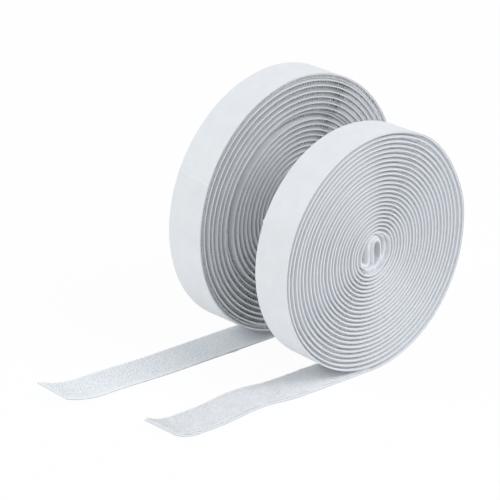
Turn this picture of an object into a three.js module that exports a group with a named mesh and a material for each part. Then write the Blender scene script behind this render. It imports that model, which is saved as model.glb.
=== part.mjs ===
// Self-adhesive hook and loop tape, sold as a pair: a loop roll in front and a hook roll behind it, each
// standing upright with its free end laid out flat. Neither roll has a core: the tape is wound on its own
// folded end.
// Millimetres, +Z up. The rolls' axes run along Y, and both free ends run out towards -X.
import * as THREE from "three";

// The tape, the same width for both halves
const tapeWidth = 20;
const linerThickness = 0.12; // release liner, outermost layer
const adhesiveThickness = 0.18; // pressure-sensitive adhesive between liner and cloth
const groundThickness = 0.45; // woven ground cloth
const selvedgeWidth = 1.4; // bare woven border on both sides of the pile or the hooks

// How the two rolls stand
const gapBetweenRolls = 35.2; // from the back of the loop roll to the front of the hook roll
const hookRollShift = 5.9; // the hook roll's axis, further right than the loop roll's

// The loop roll is wound close, with a soft pile
const loopRoll = {
  outerRadius: 55.45, // outside of the liner where the free end leaves the roll
  outerPitch: 2.2, // from one turn to the next at the outside
  innerPitch: 1.75, // and at the innermost turn
  turns: 23.75,
  faceInRoll: 0.75, // pile as it lies pressed in the roll
  faceOnTail: 1, // pile standing free
  tailLength: 117,
  wave: { start: 42, length: 50, height: 1.6 }, // where the free end lifts off the table
  curl: { start: 103, radius: 30 }, // and where it turns up towards its cut end
  sunkTurn: { from: 0, to: 0, depth: 0 }, // no turn stands back
};

// The hook roll is wound looser, and one turn of it has slipped back
const hookRoll = {
  outerRadius: 61.5,
  outerPitch: 2.64,
  innerPitch: 2.31,
  turns: 20.75,
  faceInRoll: 1.2,
  faceOnTail: 1.2,
  tailLength: 136,
  wave: { start: 22, length: 60, height: 0.7 },
  curl: { start: 113, radius: 58 },
  sunkTurn: { from: 7, to: 8.25, depth: 2 },
};

// The hooks stand in rows across the tape
const hookRowPitch = 2.2;
const hookRowWidth = 1.1;
const hookRowTopWidth = 0.6;
const hookRowRoot = 0.25; // height of the woven root below the rows

// How finely the curves are cut
const outerTurnSteps = 48; // the outermost turn, whose liner shows
const turnSteps = 24;
const innerTurnSteps = 12;
const innerTurnShare = 0.52; // a turn smaller than this share of the outer radius takes the fewest steps
const coreSteps = 24;
const loopTailSteps = 30;
const leastGapAllowed = 0.4; // between any two turns of one coil

// The tape's inner end, folded into an S that the first turns close round: points (x, z) from the roll's
// axis, as shares of the radius at which the spiral starts. The spiral ends on the left, at (-1, 0).
const coreRouteShares = [
  [-1, 0],
  [-0.89, -0.34],
  [-0.65, -0.64],
  [-0.36, -0.78],
  [-0.15, -0.6],
  [-0.13, -0.28],
  [-0.19, 0.1],
  [-0.18, 0.45],
  [-0.03, 0.68],
  [0.2, 0.7],
  [0.4, 0.48],
  [0.49, 0.15],
  [0.5, -0.36],
];

const colours = {
  liner: "#dee4e7",
  adhesive: "#d8dde0",
  loopCloth: "#d5dadf",
  loopPile: "#dfe4e8",
  hookCloth: "#c3c9cf",
  hookRows: "#dde2e6",
};

// A material of its own for each piece
function finish(colour, roughness) {
  return new THREE.MeshStandardMaterial({ color: colour, roughness, metalness: 0 });
}

// Radius of the liner's outside, a number of turns in from where the free end leaves
function spiralRadius(roll, turn) {
  const tightening = (roll.outerPitch - roll.innerPitch) / (2 * roll.turns);
  return roll.outerRadius - roll.outerPitch * turn + tightening * turn * turn;
}

// A point of a roll at a turn and a depth below the liner's outside. Turn 0 is the bottom; from there the
// tape climbs the right side, crosses the top and comes down the left.
function windingPoint(roll, turn, depth) {
  const angle = 2 * Math.PI * turn - Math.PI / 2;
  const radius = spiralRadius(roll, turn) - depth;
  const onAxis = Number.isInteger(2 * turn) ? 0 : Math.cos(angle);
  return new THREE.Vector2(radius * onAxis, roll.outerRadius + radius * Math.sin(angle));
}

// The turns at which a roll's curve is cut, from the outside in. All of them lie on the outermost turn's
// rays, so that turns with different steps keep their distance.
function turnList(roll, lastTurn) {
  const list = [];
  let ray = 0;
  while (ray / outerTurnSteps < lastTurn) {
    const turn = ray / outerTurnSteps;
    list.push(turn);
    const small = spiralRadius(roll, turn) < innerTurnShare * roll.outerRadius;
    const innerSteps = small ? innerTurnSteps : turnSteps;
    const stride = turn < 1 ? 1 : outerTurnSteps / innerSteps;
    ray += stride - (ray % stride);
  }
  list.push(lastTurn);
  return list;
}

// How far a turn stands back from the roll's front face
function setBack(roll, turn) {
  const { from, to, depth } = roll.sunkTurn;
  if (turn <= from || turn >= to) return 0;
  return depth * Math.sin((Math.PI * (turn - from)) / (to - from)) ** 2;
}

// Height of the free end's underside, a distance out from the roll
function tailHeight(roll, distance) {
  const { wave, curl } = roll;
  const along = (distance - wave.start) / wave.length;
  const lift = along > 0 && along < 1 ? wave.height * Math.sin(Math.PI * along) ** 2 : 0;
  const past = Math.max(0, distance - curl.start);
  return lift + past ** 2 / (2 * curl.radius);
}

// A point of the free end at a distance out and a height above its underside, square to the tape
function tailPoint(roll, distance, height) {
  const nudge = roll.tailLength / 1000;
  const before = tailHeight(roll, Math.max(0, distance - nudge));
  const slope = (tailHeight(roll, distance + nudge) - before) / (2 * nudge);
  const tilt = distance === 0 ? 0 : Math.atan(slope);
  const x = -distance + height * Math.sin(tilt);
  const z = tailHeight(roll, distance) + height * Math.cos(tilt);
  return new THREE.Vector2(x, z);
}

// One closed strip of tape. Each section has an outer and an inner point (x, z) and its front edge's y.
function strip(sections, width) {
  const points = [];
  sections.forEach(({ outer, inner, y }) => {
    points.push(outer.x, y, outer.y, inner.x, y, inner.y);
    points.push(inner.x, y + width, inner.y, outer.x, y + width, outer.y);
  });
  const faces = [];
  const last = 4 * (sections.length - 1);
  for (let a = 0; a < last; a += 4) {
    for (let side = 0; side < 4; side += 1) {
      const next = (side + 1) % 4;
      faces.push(a + side, a + 4 + side, a + next, a + next, a + 4 + side, a + 4 + next);
    }
  }
  faces.push(0, 1, 2, 0, 2, 3, last, last + 2, last + 1, last, last + 3, last + 2);
  return shell(points, faces);
}

function shell(points, faces) {
  const geometry = new THREE.BufferGeometry();
  geometry.setAttribute("position", new THREE.Float32BufferAttribute(points, 3));
  geometry.setIndex(faces);
  return geometry;
}

// The wound tape: its S-shaped inner end and all its turns, as one unbroken strip
function tapeCoil(roll) {
  const outerDepth = adhesiveTop;
  const thickness = groundThickness + roll.faceInRoll;
  const sections = turnList(roll, roll.turns).map((turn) => ({
    outer: windingPoint(roll, turn, outerDepth),
    inner: windingPoint(roll, turn, outerDepth + thickness),
    y: setBack(roll, turn),
  }));
  const startRadius = spiralRadius(roll, roll.turns) - outerDepth - thickness / 2;
  const route = new THREE.CatmullRomCurve3(
    coreRouteShares.map(([x, z]) => new THREE.Vector3(x * startRadius, 0, z * startRadius)),
  );
  for (let step = 1; step <= coreSteps; step += 1) {
    const at = route.getPointAt(step / coreSteps);
    const along = route.getTangentAt(step / coreSteps);
    const side = new THREE.Vector2(-along.z, along.x).normalize();
    const middle = new THREE.Vector2(at.x, roll.outerRadius + at.z);
    sections.push({
      outer: middle.clone().addScaledVector(side, -thickness / 2),
      inner: middle.clone().addScaledVector(side, thickness / 2),
      y: 0,
    });
  }
  console.log(`least gap between turns ${leastGap(sections).toFixed(2)} mm, allowed ${leastGapAllowed}`);
  return strip(sections, tapeWidth);
}

// Least distance from the coil's edge points to any stretch of the coil that isn't their own
function leastGap(sections) {
  const own = innerTurnSteps / 2;
  let least = Infinity;
  const sides = ["outer", "inner"];
  sections.forEach((section, i) => {
    for (let j = 0; j + 1 < sections.length; j += 1) {
      if (Math.abs(i - j) < own) continue;
      sides.forEach((from) => {
        sides.forEach((to) => {
          const line = new THREE.Line3(
            new THREE.Vector3(sections[j][to].x, sections[j][to].y, 0),
            new THREE.Vector3(sections[j + 1][to].x, sections[j + 1][to].y, 0),
          );
          const point = new THREE.Vector3(section[from].x, section[from].y, 0);
          const nearest = line.closestPointToPoint(point, true, new THREE.Vector3());
          least = Math.min(least, nearest.distanceTo(point));
        });
      });
    }
  });
  return least;
}

// A layer on the outermost turn, between two depths below the liner's outside
function wrapLayer(roll, topDepth, bottomDepth) {
  const sections = turnList(roll, 1).map((turn) => ({
    outer: windingPoint(roll, turn, topDepth),
    inner: windingPoint(roll, turn, bottomDepth),
    y: 0,
  }));
  return strip(sections, tapeWidth);
}

// A layer of the free end, between two heights above its underside
function tailLayer(roll, steps, bottom, top, border) {
  const sections = [];
  for (let step = steps; step >= 0; step -= 1) {
    const distance = (step / steps) * roll.tailLength;
    sections.push({
      outer: tailPoint(roll, distance, bottom),
      inner: tailPoint(roll, distance, top),
      y: border,
    });
  }
  return strip(sections, tapeWidth - 2 * border);
}

// The hooks on the free end: one ridge across the tape for each row, on a woven root
function hookRows(roll, steps, bottom) {
  const front = selvedgeWidth;
  const back = tapeWidth - selvedgeWidth;
  const points = [];
  const faces = [];
  const put = (place, y) => points.push(place.x, y, place.y) / 3 - 1;
  const pitch = roll.tailLength / steps;
  const root = bottom + hookRowRoot;
  const crest = bottom + roll.faceOnTail;
  const profile = [];
  for (let row = 0; row < steps; row += 1) {
    const middle = (row + 0.5) * pitch;
    const tops = [tailPoint(roll, row * pitch, root)];
    profile.push({ foot: tailPoint(roll, row * pitch, bottom), tops });
    tops.push(tailPoint(roll, middle - hookRowWidth / 2, root));
    tops.push(tailPoint(roll, middle - hookRowTopWidth / 2, crest));
    tops.push(tailPoint(roll, middle + hookRowTopWidth / 2, crest));
    tops.push(tailPoint(roll, middle + hookRowWidth / 2, root));
  }
  const tip = tailPoint(roll, roll.tailLength, bottom);
  profile.push({ foot: tip, tops: [tailPoint(roll, roll.tailLength, root)] });
  const rings = profile.map(({ foot, tops }) => ({
    foot: [put(foot, front), put(foot, back)],
    tops: tops.map((top) => [put(top, front), put(top, back)]),
  }));
  const quad = (a, b, c, d) => faces.push(a, b, c, a, c, d);
  rings.slice(0, -1).forEach((ring, row) => {
    const next = rings[row + 1];
    const line = [...ring.tops, next.tops[0]];
    quad(ring.foot[0], next.foot[0], next.foot[1], ring.foot[1]);
    line.slice(0, -1).forEach((top, i) => quad(top[0], top[1], line[i + 1][1], line[i + 1][0]));
    [0, 1].forEach((side) => {
      const fan = (a, b, c) => (side === 0 ? faces.push(a, b, c) : faces.push(a, c, b));
      line.slice(0, -1).forEach((top, i) => fan(ring.foot[side], top[side], line[i + 1][side]));
      fan(ring.foot[side], next.tops[0][side], next.foot[side]);
    });
  });
  const first = rings[0];
  const end = rings[rings.length - 1];
  quad(first.foot[0], first.foot[1], first.tops[0][1], first.tops[0][0]);
  quad(end.foot[0], end.tops[0][0], end.tops[0][1], end.foot[1]);
  return shell(points, faces);
}

function piece(name, geometry, material) {
  const mesh = new THREE.Mesh(geometry, material);
  mesh.name = name;
  return mesh;
}

// The layers that both rolls have: the wound cloth, the adhesive and the liner on the outermost turn, and
// the liner, adhesive and cloth of the free end
function commonLayers(name, roll, tailSteps, cloth) {
  const tail = (bottom, top) => tailLayer(roll, tailSteps, bottom, top, 0);
  return [
    piece(`${name}_tape_coil`, tapeCoil(roll), finish(cloth, 0.9)),
    piece(`${name}_adhesive_wrap`, wrapLayer(roll, linerTop, adhesiveTop), finish(colours.adhesive, 0.5)),
    piece(`${name}_liner_wrap`, wrapLayer(roll, 0, linerTop), finish(colours.liner, 0.55)),
    piece(`${name}_liner_tail`, tail(0, linerTop), finish(colours.liner, 0.55)),
    piece(`${name}_adhesive_tail`, tail(linerTop, adhesiveTop), finish(colours.adhesive, 0.5)),
    piece(`${name}_ground_tail`, tail(adhesiveTop, groundTop), finish(cloth, 0.9)),
  ];
}

// The layers' surfaces, measured from the liner's outside
const linerTop = linerThickness;
const adhesiveTop = linerTop + adhesiveThickness;
const groundTop = adhesiveTop + groundThickness;

function buildLoopRoll() {
  const roll = new THREE.Group();
  const pileTop = groundTop + loopRoll.faceOnTail;
  const pile = tailLayer(loopRoll, loopTailSteps, groundTop, pileTop, selvedgeWidth);
  roll.add(...commonLayers("loop", loopRoll, loopTailSteps, colours.loopCloth));
  roll.add(piece("loop_pile_tail", pile, finish(colours.loopPile, 1)));
  return roll;
}

function buildHookRoll() {
  const roll = new THREE.Group();
  const rowCount = Math.round(hookRoll.tailLength / hookRowPitch);
  const rows = hookRows(hookRoll, rowCount, groundTop);
  roll.add(...commonLayers("hook", hookRoll, rowCount, colours.hookCloth));
  roll.add(piece("hook_rows_tail", rows, finish(colours.hookRows, 0.6)));
  roll.position.set(hookRollShift, tapeWidth + gapBetweenRolls, 0);
  return roll;
}

// The pair stands on the origin, in the middle of the rectangle it covers
const pair = new THREE.Group();
pair.add(buildLoopRoll(), buildHookRoll());
pair.updateMatrixWorld(true);
const covered = new THREE.Box3().setFromObject(pair, true);
const middle = covered.getCenter(new THREE.Vector3());
pair.position.set(-middle.x, -middle.y, -covered.min.z);

export default pair;
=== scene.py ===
# A pair of self-adhesive hook and loop tape rolls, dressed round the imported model. Metres, +Z up.
import math

import bpy
import numpy as np
from mathutils import Matrix, Vector


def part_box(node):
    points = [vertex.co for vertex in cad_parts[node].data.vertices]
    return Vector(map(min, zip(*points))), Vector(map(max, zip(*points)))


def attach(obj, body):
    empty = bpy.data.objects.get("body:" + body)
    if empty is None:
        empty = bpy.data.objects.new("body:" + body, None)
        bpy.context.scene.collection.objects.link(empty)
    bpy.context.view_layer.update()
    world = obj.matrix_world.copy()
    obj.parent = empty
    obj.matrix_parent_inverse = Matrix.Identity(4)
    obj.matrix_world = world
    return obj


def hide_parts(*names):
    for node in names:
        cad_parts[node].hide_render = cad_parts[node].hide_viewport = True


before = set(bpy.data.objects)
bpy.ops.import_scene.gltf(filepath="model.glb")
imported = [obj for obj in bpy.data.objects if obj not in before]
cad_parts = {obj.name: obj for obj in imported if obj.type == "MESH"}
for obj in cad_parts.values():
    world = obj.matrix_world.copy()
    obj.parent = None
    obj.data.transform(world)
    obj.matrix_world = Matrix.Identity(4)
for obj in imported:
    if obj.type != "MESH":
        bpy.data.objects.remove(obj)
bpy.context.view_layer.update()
mm = 0.001
print("frame loaded")

# The layers of both tapes, counted inwards from the outside of the release liner
tape = {
    "width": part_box("loop_ground_tail")[1].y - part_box("loop_ground_tail")[0].y,
    "liner": 0.12 * mm,
    "adhesive": 0.18 * mm,
    "ground": 0.45 * mm,
}
adhesiveDepth = tape["liner"]
groundDepth = adhesiveDepth + tape["adhesive"]
faceDepth = groundDepth + tape["ground"]

# A turn counts from the bottom, where the free end leaves: up the right side, over the top and down the left.
# Distances along the free end count from there too, towards its cut end.
# The face is the pile or the hooks. In the roll it is as thick as the gap, up to mostFaceInRoll.
# curl: how the cut end turns up, and how much further at its far edge.
# settled: from which turn to which the winding goes out of round, how much and which way.
# sunkTurn: the turns that stand back from the near face.
# bulges: turn, half its reach in turns, height.
# crease: turn, height, half its width, slant over the tape's width.
# lean: how much smaller the roll is at its far edge, at which turn most, and how narrowly round that turn.
# lumps: where the liner has come loose at the near edge of the free end, as distance, half its reach and size.
# nicks: where the liner's far edge sticks out, as turn, half its reach along the tape and size.
loopRoll = {
    "name": "loop",
    "body": "loop_roll",
    "outerRadius": 56.1 * mm,
    "outerPitch": 2.2 * mm,
    "innerPitch": 1.75 * mm,
    "turns": 23.75,
    "faceInRoll": 0.75 * mm,
    "mostFaceInRoll": 1.5 * mm,
    "faceOnTail": 1 * mm,
    "tailLength": 117 * mm,
    "wave": {"start": 42 * mm, "length": 50 * mm, "height": 1.6 * mm},
    "curl": {"start": 103 * mm, "radius": 30 * mm, "twist": 0.2 * mm},
    "settled": {
        "start": 0.3,
        "end": 2,
        "oval": 0.5 * mm,
        "ovalAngle": math.radians(50),
        "right": -0.4 * mm,
        "up": 0.25 * mm,
    },
    "sunkTurn": {"start": 0, "end": 0, "depth": 0},
    "bulges": [(0.285, 0.03, 0.5 * mm), (0.4, 0.05, 0.9 * mm)],
    "lean": {"turn": 0.7, "sharpness": 1, "depth": 1.15 * mm},
    "crease": None,
    "lumps": [],
    "nicks": [(0.684, 0.6 * mm, 0.9 * mm)],
    "seed": 11,
}
hookRoll = {
    "name": "hook",
    "body": "hook_roll",
    "outerRadius": 61.5 * mm,
    "outerPitch": 2.64 * mm,
    "innerPitch": 2.31 * mm,
    "turns": 20.75,
    "faceInRoll": 1.2 * mm,
    "mostFaceInRoll": 1.85 * mm,
    "faceOnTail": 1.2 * mm,
    "tailLength": 136 * mm,
    "wave": {"start": 68 * mm, "length": 90 * mm, "height": 1 * mm},
    "curl": {"start": 113 * mm, "radius": 58 * mm, "twist": 0.9 * mm},
    "settled": {
        "start": 0.8,
        "end": 4.5,
        "oval": 1.3 * mm,
        "ovalAngle": math.radians(45),
        "right": -0.4 * mm,
        "up": -0.6 * mm,
    },
    "sunkTurn": {"start": 7, "end": 8.25, "depth": 2 * mm},
    "bulges": [(0.87, 0.1, 1.4 * mm)],
    "lean": {"turn": 0.6, "sharpness": 6, "depth": 1.3 * mm},
    "crease": {"turn": 0.688, "height": 0.2 * mm, "reach": 0.55 * mm, "slant": 2.8 * mm},
    "lumps": [(37.4 * mm, 3 * mm, 0.45 * mm), (89.4 * mm, 1.5 * mm, 0.25 * mm)],
    "nicks": [],
    "seed": 23,
}
# The folded inner end, as shares of the radius at which the spiral starts
coreRouteShares = [
    (-0.89, -0.34),
    (-0.65, -0.64),
    (-0.36, -0.78),
    (-0.15, -0.6),
    (-0.13, -0.28),
    (-0.19, 0.1),
    (-0.18, 0.45),
    (-0.03, 0.68),
    (0.2, 0.7),
    (0.4, 0.48),
    (0.49, 0.15),
    (0.5, -0.36),
]
winding = {
    "sideDrift": 0.16 * mm,  # how far the turns lie out of line with each other, sideways and outwards
    "radialDrift": 0.05 * mm,
    "sideDriftFrom": 0.6,  # turns over which each drift sets in
    "radialDriftFrom": 0.3,
    "driftWaves": 9,
    "slowestWave": 0.15,  # waves in one turn
    "fastestWave": 2.6,
    "leanSetsIn": 0.25,  # turns over which the lean sets in, and dies out at the spiral's end
    "leanDiesOut": 2,
    "bulgeUnder": 0.45,  # share of a bulge that the turn below it has
    "tailStep": 1.2 * mm,  # between sections
    "turnStep": 2.4 * mm,
    "coreStep": 0.5 * mm,
    "fewestSteps": 44,  # in one turn
    "mostSteps": 160,
    "creaseSections": np.linspace(-0.012, 0.012, 41),  # more of them round a crease or a nick, in turns
    "nickSections": np.linspace(-0.005, 0.005, 17),
    "jointPoints": 30,  # at the spiral's end, smoothed into the folded inner end
    "jointStride": 6,
}


# Radius of the tape's outer face, whose pitch narrows evenly inwards
def spiralRadius(roll, turn):
    tightening = (roll["outerPitch"] - roll["innerPitch"]) / (2 * roll["turns"])
    return roll["outerRadius"] - roll["outerPitch"] * turn + tightening * turn**2


# An uneven wave along the winding, about 1 high
def drift(turn, seed):
    rng = np.random.default_rng(seed)
    total = np.zeros_like(turn)
    for _ in range(winding["driftWaves"]):
        waves = rng.uniform(winding["slowestWave"], winding["fastestWave"])
        total += np.sin(2 * math.pi * turn * waves + rng.uniform(0, 2 * math.pi))
    return total / math.sqrt(winding["driftWaves"])


# How high the free end's outer face lies above the table
def tailHeight(roll, distance):
    wave, curl = roll["wave"], roll["curl"]
    share = np.clip((distance - wave["start"]) / wave["length"], 0, 1)
    past = np.maximum(0, distance - curl["start"])
    return wave["height"] * np.sin(math.pi * share) ** 2 + past**2 / (2 * curl["radius"])


# A curve through all the points, rounder where they lie close together
def smoothLine(points, spacing):
    points = np.asarray(points, float)
    ends = np.vstack([2 * points[0] - points[1], points, 2 * points[-1] - points[-2]])
    out = []
    for p0, p1, p2, p3 in zip(ends, ends[1:], ends[2:], ends[3:]):
        t1 = np.linalg.norm(p1 - p0) ** 0.5
        t2 = t1 + np.linalg.norm(p2 - p1) ** 0.5
        t3 = t2 + np.linalg.norm(p3 - p2) ** 0.5
        count = max(2, int(np.linalg.norm(p2 - p1) / spacing))
        for t in np.linspace(t1, t2, count, endpoint=False):
            a1 = (t1 - t) / t1 * p0 + t / t1 * p1
            a2 = (t2 - t) / (t2 - t1) * p1 + (t - t1) / (t2 - t1) * p2
            a3 = (t3 - t) / (t3 - t2) * p2 + (t - t2) / (t3 - t2) * p3
            b1 = (t2 - t) / t2 * a1 + t / t2 * a2
            b2 = (t3 - t) / (t3 - t1) * a2 + (t - t1) / (t3 - t1) * a3
            out.append((t2 - t) / (t2 - t1) * b1 + (t - t1) / (t2 - t1) * b2)
    out.append(points[-1])
    return np.array(out)


# A hand-wound roll isn't quite round: its inner turns lie a little oval and off centre
def settle(roll, points, turn, startRadius):
    loose = roll["settled"]
    share = np.clip((turn - loose["start"]) / (loose["end"] - loose["start"]), 0, 1)
    share = share * share * (3 - 2 * share)
    radius = np.linalg.norm(points, axis=1)
    angle = np.arctan2(points[:, 1], points[:, 0])
    oval = loose["oval"] * np.cos(2 * (angle - loose["ovalAngle"]))
    oval = oval * np.minimum(1, radius / startRadius)
    move = np.stack([oval * np.cos(angle) + loose["right"], oval * np.sin(angle) + loose["up"]], axis=1)
    return points + share[:, None] * move


# How far along the winding each of its sections lies, in turns
def spiralTurns(roll):
    turn = [0.0]
    while turn[-1] < roll["turns"]:
        step = winding["turnStep"] / (2 * math.pi * spiralRadius(roll, turn[-1]))
        turn.append(turn[-1] + min(max(step, 1 / winding["mostSteps"]), 1 / winding["fewestSteps"]))
    turn = np.array(turn[:-1])
    if roll["crease"]:
        turn = np.union1d(turn, roll["crease"]["turn"] + winding["creaseSections"])
    for place, _, _ in roll["nicks"]:
        turn = np.union1d(turn, place + winding["nickSections"])
    return turn


# The middle of the tape's cloth and face, seen along the roll's axis: the winding, then its folded inner end
def windingPath(roll, turn, middleDepth):
    radius = spiralRadius(roll, turn) - middleDepth
    setsIn = np.clip(turn / winding["radialDriftFrom"], 0, 1)
    radius += winding["radialDrift"] * drift(turn, roll["seed"]) * setsIn
    for place, reach, rise in roll["bulges"]:
        for later, share in ((0, 1), (1, winding["bulgeUnder"])):
            radius += share * rise * np.exp(-(((turn - later - place) / reach) ** 2))
    angle = 2 * math.pi * turn - math.pi / 2
    startRadius = spiralRadius(roll, roll["turns"]) - middleDepth
    spiral = np.stack([radius * np.cos(angle), radius * np.sin(angle)], axis=1)
    spiral = settle(roll, spiral, turn, startRadius)
    core = np.array(coreRouteShares) * startRadius
    core = settle(roll, core, np.full(len(core), roll["turns"]), startRadius)
    last = winding["jointPoints"]
    joint = smoothLine([*spiral[-last :: winding["jointStride"]], *core], winding["coreStep"])
    return spiral[:-last], joint


# How much nearer the roll's axis the tape's far edge lies than its near one, or how much higher on the free end
def farEdgeTwist(roll, turns):
    lean, curl = roll["lean"], roll["curl"]
    leaning = (0.5 + 0.5 * np.cos(2 * math.pi * (turns - lean["turn"]))) ** lean["sharpness"]
    leaning *= np.clip(turns / winding["leanSetsIn"], 0, 1)
    leaning *= np.clip((roll["turns"] - turns) / winding["leanDiesOut"], 0, 1)
    past = -turns * roll["tailLength"] - curl["start"]
    curled = np.clip(past / (roll["tailLength"] - curl["start"]), 0, 1)
    return curl["twist"] * curled**2 + lean["depth"] * leaning


# How far the tape lies from its proper place sideways
def sidewaysDrift(roll, turns):
    setsIn = np.clip(turns / winding["sideDriftFrom"], 0, 1)
    aside = winding["sideDrift"] * drift(turns, roll["seed"] + 1) * setsIn
    sunk = roll["sunkTurn"]
    if sunk["depth"]:
        share = np.clip((turns - sunk["start"]) / (sunk["end"] - sunk["start"]), 0, 1)
        aside += sunk["depth"] * np.sin(math.pi * share) ** 2
    return aside


# The tape's whole route, from its cut end to the inner fold. On the free end turns run from -1 to 0.
def tapeLine(roll):
    middleDepth = groundDepth + (tape["ground"] + roll["faceInRoll"]) / 2
    lowCorner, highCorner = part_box(roll["name"] + "_ground_tail")
    distance = np.arange(roll["tailLength"], 0, -winding["tailStep"])
    height = tailHeight(roll, distance)
    tilt = np.arctan(np.gradient(height, distance))
    tail = [-distance + middleDepth * np.sin(tilt), height + middleDepth * np.cos(tilt)]
    turn = spiralTurns(roll)
    spiral, joint = windingPath(roll, turn, middleDepth)
    wound = np.vstack([spiral, joint]) + [0, roll["outerRadius"]]
    middle = np.vstack([np.stack(tail, axis=1), wound])
    along = np.gradient(middle, axis=0)
    along /= np.linalg.norm(along, axis=1)[:, None]
    turns = np.concatenate([-distance / roll["tailLength"], turn[: len(spiral)]])
    turns = np.concatenate([turns, np.linspace(turns[-1], roll["turns"] + 1, len(joint))])
    steps = np.linalg.norm(np.diff(middle, axis=0), axis=1)
    line = {
        "place": middle + [highCorner.x, 0],
        "inward": np.stack([-along[:, 1], along[:, 0]], axis=1),
        "length": np.concatenate([[0], np.cumsum(steps)]),
        "turn": turns,
        "aside": sidewaysDrift(roll, turns) + lowCorner.y,
        "twist": farEdgeTwist(roll, turns),
        "middleDepth": middleDepth,
    }
    line["face"] = np.where(turns < 0, roll["faceOnTail"], roomInside(line, roll))
    return line


# The line's places or inward directions at given lengths
def pairAt(line, key, length):
    return np.stack([np.interp(length, line["length"], line[key][:, i]) for i in (0, 1)], axis=-1)


# Where the next turn is looked for, and how near the face may come to it
roomSearch = {
    "step": 1 * mm,
    "halfWidth": 0.6 * mm,
    "nearest": 0.3 * mm,
    "furthest": 6 * mm,
    "ownTape": 3 * mm,  # length either way that doesn't count as another turn
    "clearance": 0.02 * mm,
    "sharpBend": 50,  # per metre, from where on the bend limits the face too
    "bendShare": 0.85,  # of the bend's radius
    "smoothOver": 7,  # points
    "least": 0.3 * mm,
}


# How thick the pile or the hooks are at each point: as thick as the next turn leaves room for
def roomInside(line, roll):
    fine = np.arange(0, line["length"][-1], roomSearch["step"])
    place, inward = pairAt(line, "place", fine), pairAt(line, "inward", fine)
    toGround = line["middleDepth"] - faceDepth
    room = []
    for here, way, length in zip(line["place"], line["inward"], line["length"]):
        away = place - here
        reach = away @ way
        aslant = np.abs(away @ np.array([-way[1], way[0]]))
        met = (aslant < roomSearch["halfWidth"]) & (np.abs(fine - length) > roomSearch["ownTape"])
        met &= (reach > roomSearch["nearest"]) & (reach < roomSearch["furthest"])
        if not met.any():
            room.append(roll["mostFaceInRoll"])
            continue
        nearest = np.flatnonzero(met)[np.argmin(reach[met])]
        if inward[nearest] @ way < 0:
            room.append((reach[nearest] + 2 * toGround) / 2 - roomSearch["clearance"])
        else:
            room.append(reach[nearest] - faceDepth - roomSearch["clearance"])
    heading = np.unwrap(np.arctan2(line["inward"][:, 1], line["inward"][:, 0]))
    bend = np.gradient(heading, line["length"])
    sharp = roomSearch["sharpBend"]
    widest = np.where(bend > sharp, roomSearch["bendShare"] / np.maximum(bend, sharp) + toGround, 1)
    room = np.minimum(np.minimum(room, widest), roll["mostFaceInRoll"])
    over = roomSearch["smoothOver"]
    room = np.convolve(np.pad(room, over // 2, mode="edge"), np.ones(over) / over, mode="valid")
    return np.maximum(room, roomSearch["least"])


# A stretch of the line with evenly spaced sections
def resample(line, spacing, start, end):
    at = np.linspace(start, end, max(2, int(round((end - start) / spacing)) + 1))
    out = {"length": at, "middleDepth": line["middleDepth"]}
    for key in ("turn", "aside", "face", "twist"):
        out[key] = np.interp(at, line["length"], line[key])
    for key in ("place", "inward"):
        out[key] = pairAt(line, key, at)
    out["inward"] /= np.linalg.norm(out["inward"], axis=1)[:, None]
    return out


# One layer of the tape: its section, given as depths and sideways places, carried along the line.
# There are n sections of k corners. Edges are shaded smooth up to the angle, in degrees.
def sweep(name, line, depth, side, angle=35):
    length = line["length"]
    n = len(length)
    depth = np.broadcast_to(depth, (n, np.shape(depth)[-1]))
    side = np.broadcast_to(side, depth.shape)
    k = depth.shape[1]
    offset = depth - line["middleDepth"] + line["twist"][:, None] * side / tape["width"]
    x = line["place"][:, 0, None] + line["inward"][:, 0, None] * offset
    z = line["place"][:, 1, None] + line["inward"][:, 1, None] * offset
    y = line["aside"][:, None] + side
    points = np.stack([x, y, z], axis=2).reshape(-1, 3)
    i, j = np.meshgrid(np.arange(n - 1), np.arange(k), indexing="ij")
    nextJ = (j + 1) % k
    corners = [i * k + j, i * k + nextJ, (i + 1) * k + nextJ, (i + 1) * k + j]
    faces = np.stack(corners, axis=2).reshape(-1, 4).tolist()
    faces.append(list(range(k))[::-1])
    faces.append([(n - 1) * k + m for m in range(k)])
    across = np.concatenate([[0], np.cumsum(np.hypot(np.diff(depth[n // 2]), np.diff(side[n // 2])))])
    across = np.append(across, across[-1] + np.hypot(depth[0, 0] - depth[0, -1], side[0, 0] - side[0, -1]))
    u = np.stack([length[i], length[i], length[i + 1], length[i + 1]], axis=2).reshape(-1, 4)
    v = np.stack([across[j], across[j + 1], across[j + 1], across[j]], axis=2).reshape(-1, 4)
    uvs = np.vstack([np.stack([u, v], axis=2).reshape(-1, 2), np.zeros((2 * k, 2))])
    mesh = bpy.data.meshes.new(name)
    mesh.from_pydata(points.tolist(), [], faces)
    mesh.uv_layers.new(name="tape").data.foreach_set("uv", uvs.astype(np.float32).ravel())
    mesh.validate()
    piece = bpy.data.objects.new(name, mesh)
    bpy.context.scene.collection.objects.link(piece)
    bpy.ops.object.select_all(action="DESELECT")
    piece.select_set(True)
    bpy.context.view_layer.objects.active = piece
    bpy.ops.object.shade_smooth_by_angle(angle=math.radians(angle))
    return piece


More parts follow.
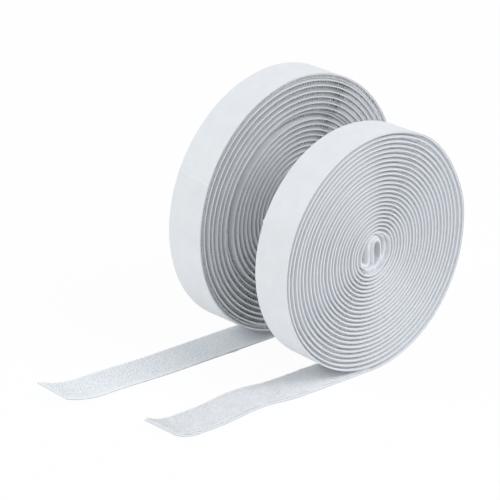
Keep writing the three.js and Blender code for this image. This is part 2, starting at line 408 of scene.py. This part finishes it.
# Many copies of one small shape, planted along the line and bent with it. spots: length along the tape, place
# across it, turn about the upright, lean sideways and height factor, one row each. bedDepth: one or one each.
def plant(name, line, template, spots, bedDepth):
    shape, triangles = template
    along, side, spin, lean, grow = (spots[:, i, None] for i in range(5))
    x = shape[:, 0] * np.cos(spin) - shape[:, 1] * np.sin(spin)
    y = shape[:, 0] * np.sin(spin) + shape[:, 1] * np.cos(spin) + lean * shape[:, 2]
    length = along + x
    bed = np.broadcast_to(bedDepth, len(spots))[:, None]
    depth = bed + shape[:, 2] * grow - line["middleDepth"]
    depth = depth + np.interp(length, line["length"], line["twist"]) * side / tape["width"]
    flat = pairAt(line, "place", length) + pairAt(line, "inward", length) * depth[..., None]
    aside = np.interp(along, line["length"], line["aside"]) + side + y
    points = np.stack([flat[..., 0], aside, flat[..., 1]], axis=2).reshape(-1, 3)
    faces = (triangles[None] + np.arange(len(spots))[:, None, None] * len(shape)).reshape(-1, 3)
    mesh = bpy.data.meshes.new(name)
    mesh.vertices.add(len(points))
    mesh.vertices.foreach_set("co", points.astype(np.float32).ravel())
    mesh.loops.add(faces.size)
    mesh.loops.foreach_set("vertex_index", faces.astype(np.int32).ravel())
    mesh.polygons.add(len(faces))
    mesh.polygons.foreach_set("loop_start", np.arange(0, faces.size, 3, dtype=np.int32))
    mesh.update(calc_edges=True)
    mesh.shade_smooth()
    piece = bpy.data.objects.new(name, mesh)
    bpy.context.scene.collection.objects.link(piece)
    print(name, len(spots), "copies,", len(faces), "triangles")
    return piece


threadShape = {"sides": 3, "root": 0.05 * mm, "samePoint": 0.001 * mm}  # root: how deep its foot is in the bed


# A thread that rises from the bed and bends over, modelled and read as points and triangles.
# bend: in degrees, and in how many steps.
def modelThread(thread, stem, reach, bend):
    degrees, bendSteps = bend
    bpy.ops.object.select_all(action="DESELECT")
    foot = (-reach, 0, -threadShape["root"])
    sides = threadShape["sides"]
    bpy.ops.mesh.primitive_circle_add(vertices=sides, radius=thread, fill_type="NGON", location=foot)
    bpy.ops.object.transform_apply(location=True)
    bpy.ops.object.mode_set(mode="EDIT")
    bpy.ops.mesh.select_all(action="SELECT")
    rise = (0, 0, stem + threadShape["root"])
    bpy.ops.mesh.extrude_region_move(TRANSFORM_OT_translate={"value": rise})
    bpy.ops.mesh.spin(steps=bendSteps, angle=-math.radians(degrees), center=(0, 0, stem), axis=(0, 1, 0))
    bpy.ops.mesh.select_all(action="SELECT")
    bpy.ops.mesh.remove_doubles(threshold=threadShape["samePoint"])
    bpy.ops.mesh.quads_convert_to_tris()
    bpy.ops.mesh.normals_make_consistent(inside=False)
    bpy.ops.object.mode_set(mode="OBJECT")
    piece = bpy.context.object
    mesh = piece.data
    points = np.array([tuple(v.co) for v in mesh.vertices])
    triangles = np.array([tuple(p.vertices) for p in mesh.polygons])
    bpy.data.objects.remove(piece)
    bpy.data.meshes.remove(mesh)
    return points, triangles


# Nodes for the materials
def newMaterial(name, roughness):
    material = bpy.data.materials.new(name)
    material.use_nodes = True
    shader = material.node_tree.nodes["Principled BSDF"]
    shader.inputs["Roughness"].default_value = roughness
    return material, material.node_tree, shader


def patternPlace(tree, source="UV", scale=(1, 1, 1)):
    place = tree.nodes.new("ShaderNodeTexCoord")
    mapping = tree.nodes.new("ShaderNodeMapping")
    mapping.inputs["Scale"].default_value = scale
    tree.links.new(place.outputs[source], mapping.inputs["Vector"])
    return mapping.outputs["Vector"]


def noise(tree, place, size, detail, roughness=0.5):
    texture = tree.nodes.new("ShaderNodeTexNoise")
    texture.inputs["Scale"].default_value = 1 / size
    texture.inputs["Detail"].default_value = detail
    texture.inputs["Roughness"].default_value = roughness
    tree.links.new(place, texture.inputs["Vector"])
    return texture.outputs["Fac"]


def maths(tree, operation, first, second=0):
    node = tree.nodes.new("ShaderNodeMath")
    node.operation = operation
    for socket, value in zip(node.inputs, (first, second)):
        if isinstance(value, (int, float)):
            socket.default_value = value
        else:
            tree.links.new(value, socket)
    return node.outputs["Value"]


def blend(tree, first, second, share):
    return maths(tree, "ADD", maths(tree, "MULTIPLY", first, share), maths(tree, "MULTIPLY", second, 1 - share))


# The base colour, from dull to pale between the look's two stops of the pattern
def tint(tree, shader, pattern, look, shade=1):
    ramp = tree.nodes.new("ShaderNodeValToRGB")
    for element, stop, key in zip(ramp.color_ramp.elements, look["stops"], ("dull", "pale")):
        element.position = stop
        element.color = (*(shade * c for c in look[key]), 1)
    tree.links.new(pattern, ramp.inputs["Fac"])
    tree.links.new(ramp.outputs["Color"], shader.inputs["Base Color"])


def roughen(tree, shader, pattern, low, high):
    node = tree.nodes.new("ShaderNodeMapRange")
    node.inputs["To Min"].default_value = low
    node.inputs["To Max"].default_value = high
    tree.links.new(pattern, node.inputs["Value"])
    tree.links.new(node.outputs["Result"], shader.inputs["Roughness"])


def bump(tree, shader, height, strength, distance, under=None):
    node = tree.nodes.new("ShaderNodeBump")
    node.inputs["Strength"].default_value = strength
    node.inputs["Distance"].default_value = distance
    tree.links.new(height, node.inputs["Height"])
    if under is not None:
        tree.links.new(under, node.inputs["Normal"])
    tree.links.new(node.outputs["Normal"], shader.inputs["Normal"])
    return node.outputs["Normal"]


def mixShaders(tree, share, first, second, output):
    mix = tree.nodes.new("ShaderNodeMixShader")
    tree.links.new(share, mix.inputs["Fac"])
    tree.links.new(first, mix.inputs[1])
    tree.links.new(second, mix.inputs[2])
    tree.links.new(mix.outputs["Shader"], tree.nodes[output].inputs["Surface"])


# In every look, a share is that of the coarse pattern in the colour and a bump is its strength and its height
linerLook = {
    "dull": (0.785, 0.805, 0.83),
    "pale": (0.83, 0.848, 0.873),
    "stops": (0.34, 0.62),
    "cockle": 9 * mm,  # size of the soft waves in the film
    "grain": 0.6 * mm,
    "cockleShare": 0.65,
    "roughness": (0.34, 0.5),
    "cockleBump": (0.35, 0.4 * mm),
    "grainBump": (0.25, 0.03 * mm),
}


def makeLinerMaterial():
    material, tree, shader = newMaterial("waxedReleaseFilm", roughness=0.42)
    place = patternPlace(tree)
    cockle = noise(tree, place, linerLook["cockle"], 3)
    grain = noise(tree, place, linerLook["grain"], 3, 0.65)
    tint(tree, shader, blend(tree, cockle, grain, linerLook["cockleShare"]), linerLook)
    roughen(tree, shader, grain, *linerLook["roughness"])
    waves = bump(tree, shader, cockle, *linerLook["cockleBump"])
    bump(tree, shader, grain, *linerLook["grainBump"], under=waves)
    return material


adhesiveLook = {
    "dull": (0.6536, 0.6708, 0.6966),
    "pale": (0.76, 0.78, 0.81),
    "stops": (0.3, 0.65),
    "strings": 1.1 * mm,
    "stretch": (1, 0.25, 1),  # strings run across the tape
    "roughness": (0.15, 0.35),
    "refraction": 1.48,
    "bump": (0.4, 0.06 * mm),
}


def makeAdhesiveMaterial():
    material, tree, shader = newMaterial("clearTackyCoat", roughness=0.22)
    place = patternPlace(tree, scale=adhesiveLook["stretch"])
    strings = noise(tree, place, adhesiveLook["strings"], 3, 0.6)
    tint(tree, shader, strings, adhesiveLook)
    roughen(tree, shader, strings, *adhesiveLook["roughness"])
    shader.inputs["IOR"].default_value = adhesiveLook["refraction"]
    bump(tree, shader, strings, *adhesiveLook["bump"])
    return material


clothLook = {
    "dull": (0.865, 0.9, 0.935),  # between the threads
    "pale": (0.92, 0.95, 0.975),
    "stops": (0.05, 0.45),
    "loopShade": 0.95,
    "hookShade": 1.02,
    "warp": 0.42 * mm,  # one thread of the weave, along and across
    "weft": 0.36 * mm,
    "fray": 0.9 * mm,
    "wander": 0.15 * mm,  # how far a thread runs off its line
    "roughness": (0.6, 0.9),
    "sheen": 0.15,
    "weaveBump": (0.6, 0.08 * mm),
    "frayBump": (0.3, 0.06 * mm),
}


def makeClothMaterial(name, shade):
    material, tree, shader = newMaterial(name, roughness=0.75)
    place = patternPlace(tree)
    split = tree.nodes.new("ShaderNodeSeparateXYZ")
    tree.links.new(place, split.inputs["Vector"])
    fray = noise(tree, place, clothLook["fray"], 3, 0.6)
    across = maths(tree, "ADD", split.outputs["Y"], maths(tree, "MULTIPLY", fray, clothLook["wander"]))
    warp = maths(tree, "SINE", maths(tree, "MULTIPLY", across, math.pi / clothLook["warp"]))
    weft = maths(tree, "SINE", maths(tree, "MULTIPLY", split.outputs["X"], math.pi / clothLook["weft"]))
    weave = maths(tree, "ABSOLUTE", maths(tree, "MULTIPLY", warp, weft))
    tint(tree, shader, weave, clothLook, shade)
    roughen(tree, shader, fray, *clothLook["roughness"])
    shader.inputs["Sheen Weight"].default_value = clothLook["sheen"]
    threads = bump(tree, shader, weave, *clothLook["weaveBump"])
    bump(tree, shader, fray, *clothLook["frayBump"], under=threads)
    return material


pileLook = {
    "dull": (0.78, 0.8, 0.835),
    "pale": (0.89, 0.905, 0.93),
    "stops": (0.36, 0.6),
    "tuft": 0.55 * mm,
    "cloud": 3.5 * mm,
    "tuftShare": 0.6,
    "sheen": 0.35,
    "sheenRoughness": 0.5,
    "bump": (0.8, 0.2 * mm),
}


def makePileMaterial():
    material, tree, shader = newMaterial("brushedNylonPile", roughness=0.95)
    place = patternPlace(tree, "Object")
    tuft = noise(tree, place, pileLook["tuft"], 4, 0.7)
    cloud = noise(tree, place, pileLook["cloud"], 3, 0.6)
    tint(tree, shader, blend(tree, tuft, cloud, pileLook["tuftShare"]), pileLook)
    shader.inputs["Sheen Weight"].default_value = pileLook["sheen"]
    shader.inputs["Sheen Roughness"].default_value = pileLook["sheenRoughness"]
    bump(tree, shader, tuft, *pileLook["bump"])
    return material


hookLook = {
    "dull": (0.915, 0.935, 0.965),
    "pale": (0.96, 0.975, 0.99),
    "stops": (0.35, 0.62),
    "patch": 4 * mm,
    "grain": 0.3 * mm,
    "roughness": (0.22, 0.42),
    "refraction": 1.53,
    "bump": (0.2, 0.02 * mm),
}


def makeHookMaterial():
    material, tree, shader = newMaterial("stiffNylonThread", roughness=0.3)
    place = patternPlace(tree, "Object")
    patch = noise(tree, place, hookLook["patch"], 3, 0.6)
    grain = noise(tree, place, hookLook["grain"], 2)
    tint(tree, shader, patch, hookLook)
    roughen(tree, shader, grain, *hookLook["roughness"])
    shader.inputs["IOR"].default_value = hookLook["refraction"]
    bump(tree, shader, grain, *hookLook["bump"])
    return material


linerMaterial = makeLinerMaterial()
adhesiveMaterial = makeAdhesiveMaterial()
loopClothMaterial = makeClothMaterial("loopGroundCloth", clothLook["loopShade"])
hookClothMaterial = makeClothMaterial("hookGroundCloth", clothLook["hookShade"])
pileMaterial = makePileMaterial()
hookMaterial = makeHookMaterial()
print("materials ready")


def dress(piece, material, body, replaced=()):
    piece.data.materials.clear()
    piece.data.materials.append(material)
    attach(piece, body)
    if replaced:
        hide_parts(*replaced)


studio = {
    "worldColour": (0.945, 0.98, 1, 1),
    "worldStrength": 0.53,
    "keyPower": 11.5,
    "keyPlace": (0.35, -1, 1.15),
    "keySize": 1,
    "keyColour": (1, 0.98, 1),
    "sidePower": 6.4,
    "sidePlace": (-1.1, 0.7, 0.9),
    "sideSize": 0.7,
    "sideColour": (0.965, 1, 1),
    "lampAim": Vector((0, 0, 0.05)),
    "azimuth": math.radians(-43.84),
    "elevation": math.radians(21.93),
    "roll": math.radians(1.37),
    "distance": 1769.1 * mm,
    "target": Vector((5.62 * mm, 13.5 * mm, 48.39 * mm)),
    "lens": 288,
    "sensor": 36,
    "clipEnd": 20,
}
floorLook = {
    "dull": (0.94, 0.94, 0.945),
    "pale": (0.96, 0.96, 0.96),
    "stops": (0.3, 0.7),
    "mottle": 1 / 12,  # size of its faint patches
    "size": 6,
    "glow": 0.95,  # share of the floor's own light in what the camera sees of it
    "fill": 0.6,  # and in what the tapes get from it
}


def buildCamera():
    azimuth, elevation, roll = (studio[key] for key in ("azimuth", "elevation", "roll"))
    ahead = math.cos(elevation)
    back = Vector((math.sin(azimuth) * ahead, -math.cos(azimuth) * ahead, math.sin(elevation)))
    level = Vector((math.cos(azimuth), math.sin(azimuth), 0))
    rise = back.cross(level)
    right = level * math.cos(roll) + rise * math.sin(roll)
    up = rise * math.cos(roll) - level * math.sin(roll)
    bpy.ops.object.camera_add()
    camera = bpy.context.object
    camera.name = "camera"
    camera.data.lens = studio["lens"]
    camera.data.sensor_width = studio["sensor"]
    camera.data.clip_end = studio["clipEnd"]
    place = Matrix((right, up, back)).transposed().to_4x4()
    place.translation = studio["target"] + back * studio["distance"]
    camera.matrix_world = place
    bpy.context.scene.camera = camera


# The sky lights the tapes in its own colour, but the camera and mirrored rays see it white
def buildWorld():
    scene = bpy.context.scene
    scene.view_settings.view_transform = "Standard"
    scene.world = bpy.data.worlds.new("studio")
    scene.world.use_nodes = True
    tree = scene.world.node_tree
    background = tree.nodes["Background"]
    background.inputs["Color"].default_value = studio["worldColour"]
    background.inputs["Strength"].default_value = studio["worldStrength"]
    white = tree.nodes.new("ShaderNodeBackground")
    white.inputs["Color"].default_value = (1, 1, 1, 1)
    rays = tree.nodes.new("ShaderNodeLightPath")
    direct = maths(tree, "MAXIMUM", rays.outputs["Is Camera Ray"], rays.outputs["Is Glossy Ray"])
    direct = maths(tree, "MAXIMUM", direct, rays.outputs["Is Transmission Ray"])
    mixShaders(tree, direct, background.outputs["Background"], white.outputs["Background"], "World Output")


def buildLamps():
    for name in ("key", "side"):
        bpy.ops.object.light_add(type="AREA", location=studio[name + "Place"])
        lamp = bpy.context.object
        lamp.name = name + "_light"
        lamp.data.energy = studio[name + "Power"]
        lamp.data.size = studio[name + "Size"]
        lamp.data.color = studio[name + "Colour"]
        lamp.rotation_euler = (studio["lampAim"] - lamp.location).to_track_quat("-Z", "Y").to_euler()


def buildFloor():
    bpy.ops.mesh.primitive_plane_add(size=floorLook["size"])
    floor = bpy.context.object
    floor.name = "floor"
    material, tree, shader = newMaterial("studioFloor", roughness=0.9)
    tint(tree, shader, noise(tree, patternPlace(tree, "Object"), floorLook["mottle"], 3), floorLook)
    glow = tree.nodes.new("ShaderNodeEmission")
    rays = tree.nodes.new("ShaderNodeLightPath")
    share = maths(tree, "MULTIPLY", rays.outputs["Is Camera Ray"], floorLook["glow"] - floorLook["fill"])
    share = maths(tree, "ADD", share, floorLook["fill"])
    mixShaders(tree, share, shader.outputs["BSDF"], glow.outputs["Emission"], "Material Output")
    floor.data.materials.append(material)


# The liner sticks out past the cloth at each edge, and leaves a hair's breadth to the adhesive
linerFilm = {"proud": 0.1 * mm, "columns": 13, "slack": 0.01 * mm}


def buildLiner(roll, line):
    name = roll["name"]
    count = linerFilm["columns"]
    across = np.linspace(-linerFilm["proud"], tape["width"] + linerFilm["proud"], count)
    n = len(line["length"])
    outer = np.zeros((n, count))
    if roll["crease"]:
        crease = roll["crease"]
        at = np.interp(crease["turn"], line["turn"], line["length"])
        curve = (across / tape["width"] - 0.5) ** 3 * 4  # from -0.5 to 0.5, level in the middle
        off = line["length"][:, None] - at + crease["slant"] * curve
        outer -= crease["height"] * np.exp(-((off / crease["reach"]) ** 2))
    side = np.broadcast_to(across, (n, count)).copy()
    for distance, reach, size in roll["lumps"]:
        at = roll["tailLength"] - distance
        side[:, 0] -= size * np.exp(-(((line["length"] - at) / reach) ** 2))
    for turn, reach, size in roll["nicks"]:
        at = np.interp(turn, line["turn"], line["length"])
        side[:, -1] += size * np.exp(-(((line["length"] - at) / reach) ** 2))
    depth = np.concatenate([outer, outer[:, ::-1] + tape["liner"] - linerFilm["slack"]], axis=1)
    piece = sweep(name + "_release_liner", line, depth, np.concatenate([side, side[:, ::-1]], axis=1))
    dress(piece, linerMaterial, roll["body"], [name + "_liner_wrap", name + "_liner_tail"])
    return piece


adhesiveFilm = {"inset": 0.2 * mm, "slack": 0.01 * mm}


def buildAdhesive(roll, line):
    name = roll["name"]
    low, high = adhesiveFilm["inset"], tape["width"] - adhesiveFilm["inset"]
    top = groundDepth - adhesiveFilm["slack"]
    depth = [adhesiveDepth, adhesiveDepth, top, top]
    piece = sweep(name + "_adhesive_film", line, depth, [low, high, high, low])
    dress(piece, adhesiveMaterial, roll["body"], [name + "_adhesive_wrap", name + "_adhesive_tail"])
    return piece


groundCloth = {"edgeRadius": 0.1 * mm}


def buildGround(roll, line, material):
    name = roll["name"]
    width, r = tape["width"], groundCloth["edgeRadius"]
    low, high = groundDepth, faceDepth
    depth = [low, low, low, low + r, high - r, high, high, high, high - r, low + r]
    side = [r, width / 2, width - r, width, width, width - r, width / 2, r, 0, 0]
    piece = sweep(name + "_ground_tape", line, depth, side)
    dress(piece, material, roll["body"], [name + "_tape_coil", name + "_ground_tail"])
    return piece


def declareTape(ground, line):
    print(ground.name, "is", round(line["length"][-1], 3), "m long")


# The body of the pile. edge: from the cloth's edge to the pile on the free end, then in the roll and in its
# folded middle. heights and insets: one side of its section, as shares of its height and places from that edge.
pile = {
    "edge": 0.85 * mm,
    "edgeInRoll": 2.2 * mm,
    "edgeInCore": 1.5 * mm,
    "coreFrom": 0.1,  # turns past the spiral's end
    "heights": (0.02, 0.35, 0.75, 1, 1),
    "insets": (0, -0.12 * mm, -0.05 * mm, 0.35 * mm),
    "flat": (0.3, 0.7),  # shares of the cloth's width
    "roughHeight": 0.06,
    "roughSide": 0.13 * mm,
    "spacing": 0.8 * mm,
    "bodyShare": 0.8,  # of the height on the free end, where loops stand out of it
    "pieces": 3,
}


def buildPileBody(line, rng):
    width = tape["width"]
    tailLength, end = loopRoll["tailLength"], line["length"][-1]
    core = np.interp(loopRoll["turns"] + pile["coreFrom"], line["turn"], line["length"])
    cuts = [0, tailLength, *np.linspace(tailLength, core, pile["pieces"] + 1)[1:], end]
    edges = [pile["edge"], *[pile["edgeInRoll"]] * pile["pieces"], pile["edgeInCore"]]
    shares = np.array([*pile["heights"], *pile["heights"][::-1]])
    inset = np.array(pile["insets"])
    flat = [width * share for share in pile["flat"]]
    pieces = []
    for index, (start, stop, edge) in enumerate(zip(cuts, cuts[1:], edges)):
        side = np.concatenate([edge + inset, flat, width - edge - inset[::-1]])
        part = resample(line, pile["spacing"], start, stop)
        size = (len(part["length"]), len(side))
        height = part["face"][:, None] * (pile["bodyShare"] if index == 0 else 1)
        depth = faceDepth + height * shares * (1 + rng.normal(0, pile["roughHeight"], size) * (shares < 1))
        rough = side + rng.normal(0, pile["roughSide"], size)
        name = "loop_pile_free" if index == 0 else f"loop_pile_wound_{index}"
        piece = sweep(name, part, depth[:, ::-1], rough[:, ::-1], angle=80)
        dress(piece, pileMaterial, "loop_roll", ["loop_pile_tail"] if index == 0 else [])
        pieces.append(piece)
    print("pile bodies done")
    return pieces


# Single loops all over the free end's pile. root: how deep they start in it.
looseLoops = {
    "thread": 0.045 * mm,
    "stem": 0.12 * mm,
    "reach": 0.3 * mm,
    "bend": (180, 4),
    "spacing": 0.72 * mm,
    "edge": 0.2 * mm,  # from the pile's edge
    "offGrid": 0.4,  # share of the spacing, either way
    "lean": 0.35,
    "heights": (0.7, 1.5),
    "root": 0.2 * mm,
}
# Single loops along both edges of the pile in the roll
fringe = {
    "spacing": 1 * mm,
    "stopBefore": 3 * mm,  # the tape's inner end
    "alongSpread": 0.25 * mm,
    "sideSpread": 0.15 * mm,
    "spin": 0.6,
    "lean": 0.3,
    "heights": (0.7, 1.3),
    "up": (0.15, 0.75),  # where in the pile's height they start
    "root": 0.15 * mm,
}


def buildPileLoops(line, rng):
    width, edge = tape["width"], pile["edge"]
    tailLength, end = loopRoll["tailLength"], line["length"][-1]
    loop = modelThread(*(looseLoops[key] for key in ("thread", "stem", "reach", "bend")))
    step, offGrid = looseLoops["spacing"], looseLoops["offGrid"]
    columns = np.arange(edge + looseLoops["edge"], width - edge, step)
    along, side = np.meshgrid(np.arange(step / 2, tailLength, step), columns, indexing="ij")
    count = along.size
    spots = np.stack([
        along.ravel() + rng.uniform(-offGrid, offGrid, count) * step,
        side.ravel() + rng.uniform(-offGrid, offGrid, count) * step,
        rng.uniform(0, math.pi, count),
        rng.normal(0, looseLoops["lean"], count),
        rng.uniform(*looseLoops["heights"], count),
    ], axis=1)
    bed = faceDepth + pile["bodyShare"] * loopRoll["faceOnTail"] - looseLoops["root"]
    pieces = [plant("loop_pile_loops_free", line, loop, spots, bed)]
    edge = pile["edgeInRoll"]
    for name, first in (("loop_pile_fringe_front", edge), ("loop_pile_fringe_back", width - edge)):
        places = np.arange(tailLength, end - fringe["stopBefore"], fringe["spacing"])
        count = len(places)
        spots = np.stack([
            places + rng.normal(0, fringe["alongSpread"], count),
            first + rng.normal(0, fringe["sideSpread"], count),
            rng.uniform(-fringe["spin"], fringe["spin"], count) + math.pi / 2,
            rng.normal(0, fringe["lean"], count),
            rng.uniform(*fringe["heights"], count),
        ], axis=1)
        up = rng.uniform(*fringe["up"], count)
        bed = faceDepth + up * np.interp(places, line["length"], line["face"]) - fringe["root"]
        pieces.append(plant(name, line, loop, spots, bed))
    for piece in pieces:
        dress(piece, pileMaterial, "loop_roll")
    return pieces


# free: on the free end. side: between the turns at both edges, where the roll's faces show them. inner: further
# in, out of sight. crowd: a second, denser set at the front edge, in the outermost turn and near one place of
# every turn. It is there for the look alone: real hooks are evenly spaced.
# showing and crowd move hooks towards the edge. turn and reach: near which place of every turn. shift: how far
# at most. first: how far at least in the outermost turn. stagger: how far every second column is set back, in
# pitches.
hooks = {
    "wovenHeight": 1.2 * mm,
    "thread": 0.16 * mm,
    "freeThread": 0.055 * mm,
    "reach": 0.34 * mm,  # radius of the bent head
    "innerReach": 0.55 * mm,
    "bend": (150, 2),
    "freeBend": (215, 4),
    "freeEdge": 1.4 * mm,  # from the cloth's edge to the first column
    "freeColumns": 15,
    "freePitch": 1.5 * mm,
    "sideEdge": 1.3 * mm,
    "sideColumns": 3,
    "sideStep": 0.75 * mm,
    "sidePitch": 1.6 * mm,
    "innerColumns": 9,
    "innerPitch": 3 * mm,
    "crowdColumns": 4,
    "crowdStep": 0.4 * mm,
    "crowdPitch": 0.8 * mm,
    "showing": {"turn": 0.465, "reach": 0.075, "shift": 1 * mm, "first": 0.3 * mm, "stagger": 0},
    "crowd": {"turn": 0.29, "reach": 0.12, "shift": 1.05 * mm, "first": 0.8 * mm, "stagger": 0.5},
    "spread": {"along": 0.06 * mm, "side": 0.05 * mm, "spin": 0.12, "lean": 0.06, "shorter": 0.03},
    "pieces": 6,
}


# Hooks between two lengths along the tape, in columns at the given places across it
def hookSpots(line, rng, columns, pitch, start, stop, moved):
    spread = hooks["spread"]
    spots = []
    for column, side in enumerate(columns):
        rows = np.arange(start + pitch * (1 - moved["stagger"] * (column % 2)), stop - pitch / 2, pitch)
        count = len(rows)
        room = np.interp(rows, line["length"], line["face"]) / hooks["wovenHeight"]
        turn = np.interp(rows, line["length"], line["turn"])
        fan = np.exp(-((((turn - moved["turn"] + 0.5) % 1 - 0.5) / moved["reach"]) ** 2))
        nearer = np.maximum(moved["first"] * (turn < 1), moved["shift"] * fan)
        nearer *= (turn > 0) * np.sign(side - tape["width"] / 2)
        spots.append(np.stack([
            rows + rng.normal(0, spread["along"], count),
            side + nearer + rng.normal(0, spread["side"], count),
            (column % 2) * math.pi + rng.normal(0, spread["spin"], count),
            rng.normal(0, spread["lean"], count),
            room * (1 - np.abs(rng.normal(0, spread["shorter"], count))),
        ], axis=1))
    return np.concatenate(spots)


def crowdSpots(line, rng, start, stop):
    crowd = hooks["crowd"]
    columns = hooks["sideEdge"] + np.arange(hooks["crowdColumns"]) * hooks["crowdStep"]
    spots = hookSpots(line, rng, columns, hooks["crowdPitch"], start, stop, crowd)
    turn = np.interp(spots[:, 0], line["length"], line["turn"])
    near = np.abs(turn % 1 - crowd["turn"]) < crowd["reach"]
    return spots[(near | (turn < 1)) & (turn > 0)]


def modelHook(thread, reach, bend):
    return modelThread(thread, hooks["wovenHeight"] - hooks["thread"] - reach, reach, bend)


def buildHooks(line, rng):
    whole = modelHook(hooks["freeThread"], hooks["reach"], hooks["freeBend"])
    plain = modelHook(hooks["thread"], hooks["reach"], hooks["bend"])
    hidden = modelHook(hooks["thread"], hooks["innerReach"], hooks["bend"])
    width = tape["width"]
    tailLength, end = hookRoll["tailLength"], line["length"][-1]
    free = np.linspace(hooks["freeEdge"], width - hooks["freeEdge"], hooks["freeColumns"])
    outermost = hooks["sideEdge"] + np.arange(hooks["sideColumns"]) * hooks["sideStep"]
    inner = np.linspace(outermost[-1], width - outermost[-1], hooks["innerColumns"] + 2)[1:-1]
    spots = hookSpots(line, rng, free, hooks["freePitch"], 0, tailLength, hooks["showing"])
    pieces = [plant("hook_hooks_free", line, whole, spots, faceDepth)]
    dress(pieces[0], hookMaterial, "hook_roll", ["hook_rows_tail"])
    cuts = np.linspace(tailLength, end, hooks["pieces"] + 1)
    groups = {
        "front": (plain, outermost, hooks["sidePitch"]),
        "back": (plain, width - outermost, hooks["sidePitch"]),
        "middle": (hidden, inner, hooks["innerPitch"]),
    }
    for index, (start, stop) in enumerate(zip(cuts, cuts[1:])):
        for group, (template, columns, pitch) in groups.items():
            spots = hookSpots(line, rng, columns, pitch, start, stop, hooks["showing"])
            if group == "front":
                spots = np.concatenate([spots, crowdSpots(line, rng, start, stop)])
            piece = plant(f"hook_hooks_{group}_{index + 1}", line, template, spots, faceDepth)
            dress(piece, hookMaterial, "hook_roll")
            pieces.append(piece)
    return pieces


seeds = {"pileBody": 5, "pileLoops": 6, "hooks": 9}
buildCamera()
buildWorld()
buildLamps()
buildFloor()
print("studio ready")
loopLine = tapeLine(loopRoll)
hookLine = tapeLine(hookRoll)
print("tapes routed")
loopLayers = [buildLiner(loopRoll, loopLine), buildAdhesive(loopRoll, loopLine)]
loopGround = buildGround(loopRoll, loopLine, loopClothMaterial)
hookLayers = [buildLiner(hookRoll, hookLine), buildAdhesive(hookRoll, hookLine)]
hookGround = buildGround(hookRoll, hookLine, hookClothMaterial)
loopLayers += buildPileBody(loopLine, np.random.default_rng(seeds["pileBody"]))
loopLayers += buildPileLoops(loopLine, np.random.default_rng(seeds["pileLoops"]))
hookLayers += buildHooks(hookLine, np.random.default_rng(seeds["hooks"]))
declareTape(loopGround, loopLine)
declareTape(hookGround, hookLine)
